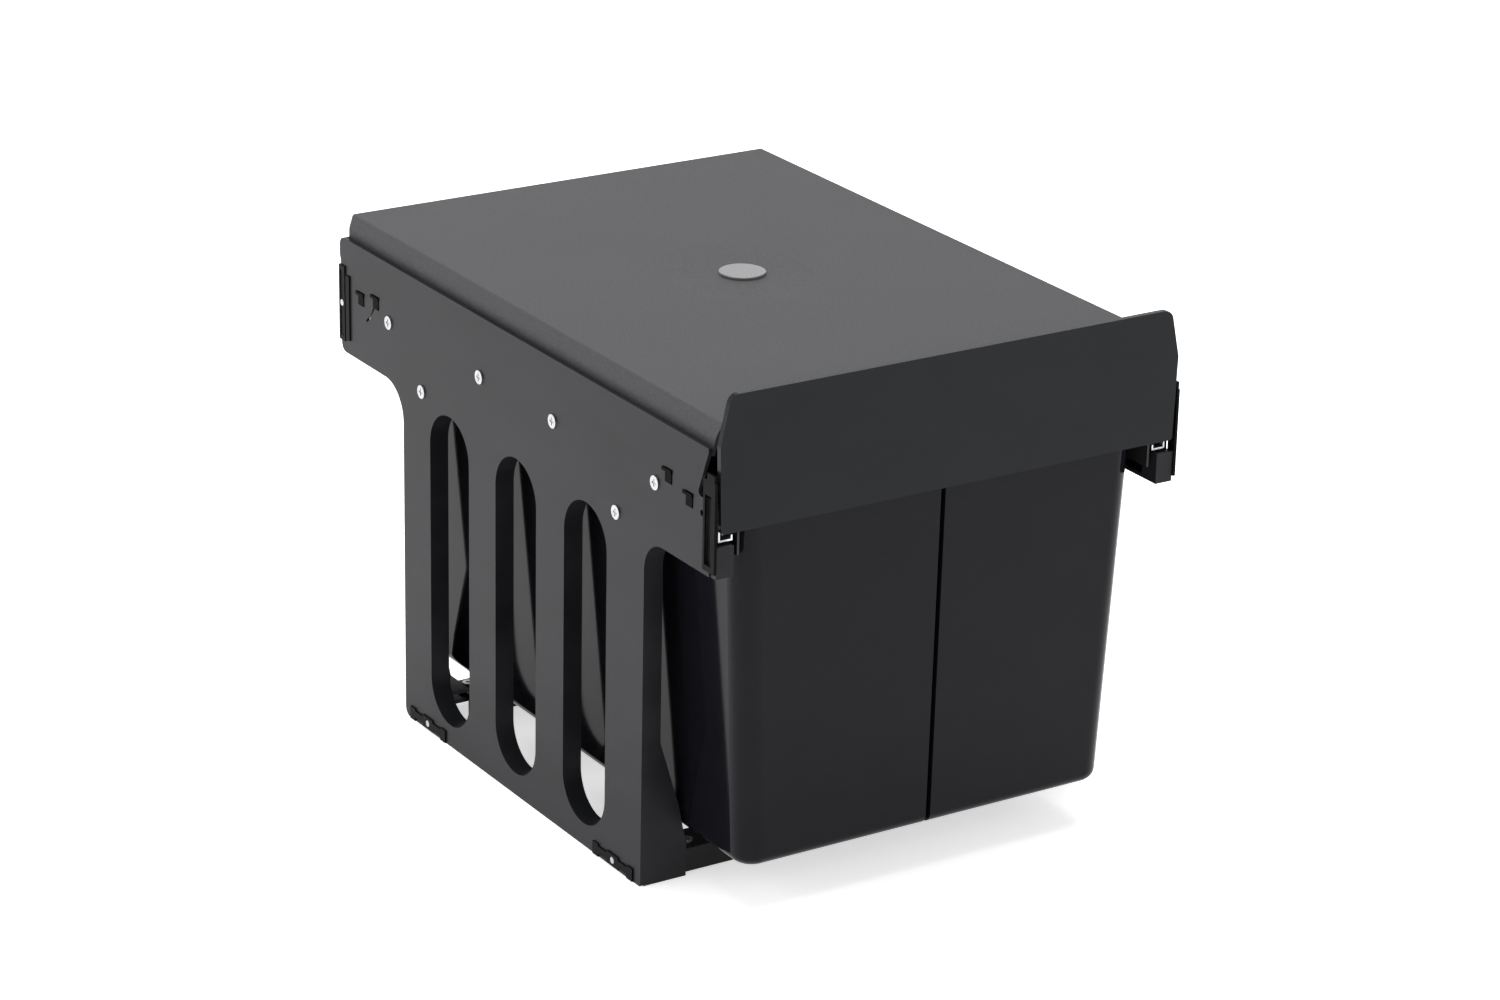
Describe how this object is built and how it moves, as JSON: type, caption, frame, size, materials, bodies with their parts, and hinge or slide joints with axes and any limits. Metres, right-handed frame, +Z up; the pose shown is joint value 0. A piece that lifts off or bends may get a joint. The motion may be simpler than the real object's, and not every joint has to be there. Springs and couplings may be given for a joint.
{
  "type": "pull-out waste bin unit",
  "caption": "Pull-out waste bin unit for a kitchen cupboard: slotted side panels, fixed cover, and two bins on soft-close slides behind a front panel.",
  "frame": {"origin": "middle of the unit's footprint on the cupboard floor", "axes": "+X to the right, +Y towards the back of the cupboard, +Z up; the front panel faces -Y"},
  "size_m": [0.343, 0.48, 0.351],
  "materials": {
    "panel_plastic": "satin",
    "screw_zinc": "bright zinc",
    "clip_plastic": "satin",
    "bracket_plastic": "satin",
    "rail_steel": "zinc plated",
    "ball_steel": "polished",
    "cage_plastic": "satin",
    "damper_plastic": "satin",
    "slider_plastic": "satin",
    "channel_plastic": "satin",
    "cover_sheet": "fine matte texture",
    "badge_plastic": "gloss",
    "bin_plastic": "gloss",
    "carrier_plastic": "satin",
    "front_plastic": "semi-gloss",
    "bracket_steel": "black zinc"
  },
  "bodies": {
    "housing": {"left_side_panel": "panel_plastic", "right_side_panel": "panel_plastic", "left_slide_screws": "screw_zinc", "right_slide_screws": "screw_zinc", "left_front_wall_clip": "clip_plastic", "right_front_wall_clip": "clip_plastic", "left_rear_wall_clip": "clip_plastic", "right_rear_wall_clip": "clip_plastic", "left_front_floor_clip": "clip_plastic", "right_front_floor_clip": "clip_plastic", "left_rear_floor_clip": "clip_plastic", "right_rear_floor_clip": "clip_plastic", "left_clip_screws": "screw_zinc", "right_clip_screws": "screw_zinc", "left_front_cover_bracket": "bracket_plastic", "right_front_cover_bracket": "bracket_plastic", "left_rear_cover_bracket": "bracket_plastic", "right_rear_cover_bracket": "bracket_plastic", "left_outer_rail": "rail_steel", "right_outer_rail": "rail_steel", "left_damper_housing": "damper_plastic", "right_damper_housing": "damper_plastic", "front_floor_channel": "channel_plastic", "rear_floor_channel": "channel_plastic", "foot_screws": "screw_zinc"},
    "cover": {"top_cover": "cover_sheet", "cover_badge": "badge_plastic"},
    "damper_sliders": {"left_damper_slider": "slider_plastic", "right_damper_slider": "slider_plastic"},
    "outer_ball_cages": {"left_outer_ball_cage": "cage_plastic", "right_outer_ball_cage": "cage_plastic", "left_outer_balls": "ball_steel", "right_outer_balls": "ball_steel"},
    "middle_rails": {"left_middle_rail": "rail_steel", "right_middle_rail": "rail_steel"},
    "inner_ball_cages": {"left_inner_ball_cage": "cage_plastic", "right_inner_ball_cage": "cage_plastic", "left_inner_balls": "ball_steel", "right_inner_balls": "ball_steel"},
    "carriage": {"left_inner_rail": "rail_steel", "right_inner_rail": "rail_steel", "left_carrier_screws": "screw_zinc", "right_carrier_screws": "screw_zinc", "left_panel_bracket": "bracket_steel", "right_panel_bracket": "bracket_steel", "left_panel_screws": "screw_zinc", "right_panel_screws": "screw_zinc", "left_bin": "bin_plastic", "right_bin": "bin_plastic", "bin_carrier": "carrier_plastic", "front_panel": "front_plastic"}
  },
  "joints": [
    {"name": "carriage_slide", "type": "slide", "parent": "housing", "child": "carriage", "axis": [0, -1, 0], "range_m": [0, 0.4]},
    {"name": "middle_slide", "type": "slide", "parent": "housing", "child": "middle_rails", "axis": [0, -1, 0], "range_m": [0, 0.2]},
    {"name": "outer_cage_slide", "type": "slide", "parent": "housing", "child": "outer_ball_cages", "axis": [0, -1, 0], "range_m": [0, 0.1]},
    {"name": "inner_cage_slide", "type": "slide", "parent": "housing", "child": "inner_ball_cages", "axis": [0, -1, 0], "range_m": [0, 0.3]},
    {"name": "damper_travel", "type": "slide", "parent": "housing", "child": "damper_sliders", "axis": [0, -1, 0], "range_m": [0, 0.03]},
    {"name": "cover_lift", "type": "slide", "parent": "housing", "child": "cover", "axis": [0, 0, 1], "range_m": [0, 0.06]}
  ],
  "couplings": [
    {"joint": "middle_slide", "follows": "carriage_slide", "ratio": 0.5},
    {"joint": "outer_cage_slide", "follows": "carriage_slide", "ratio": 0.25},
    {"joint": "inner_cage_slide", "follows": "carriage_slide", "ratio": 0.75}
  ]
}
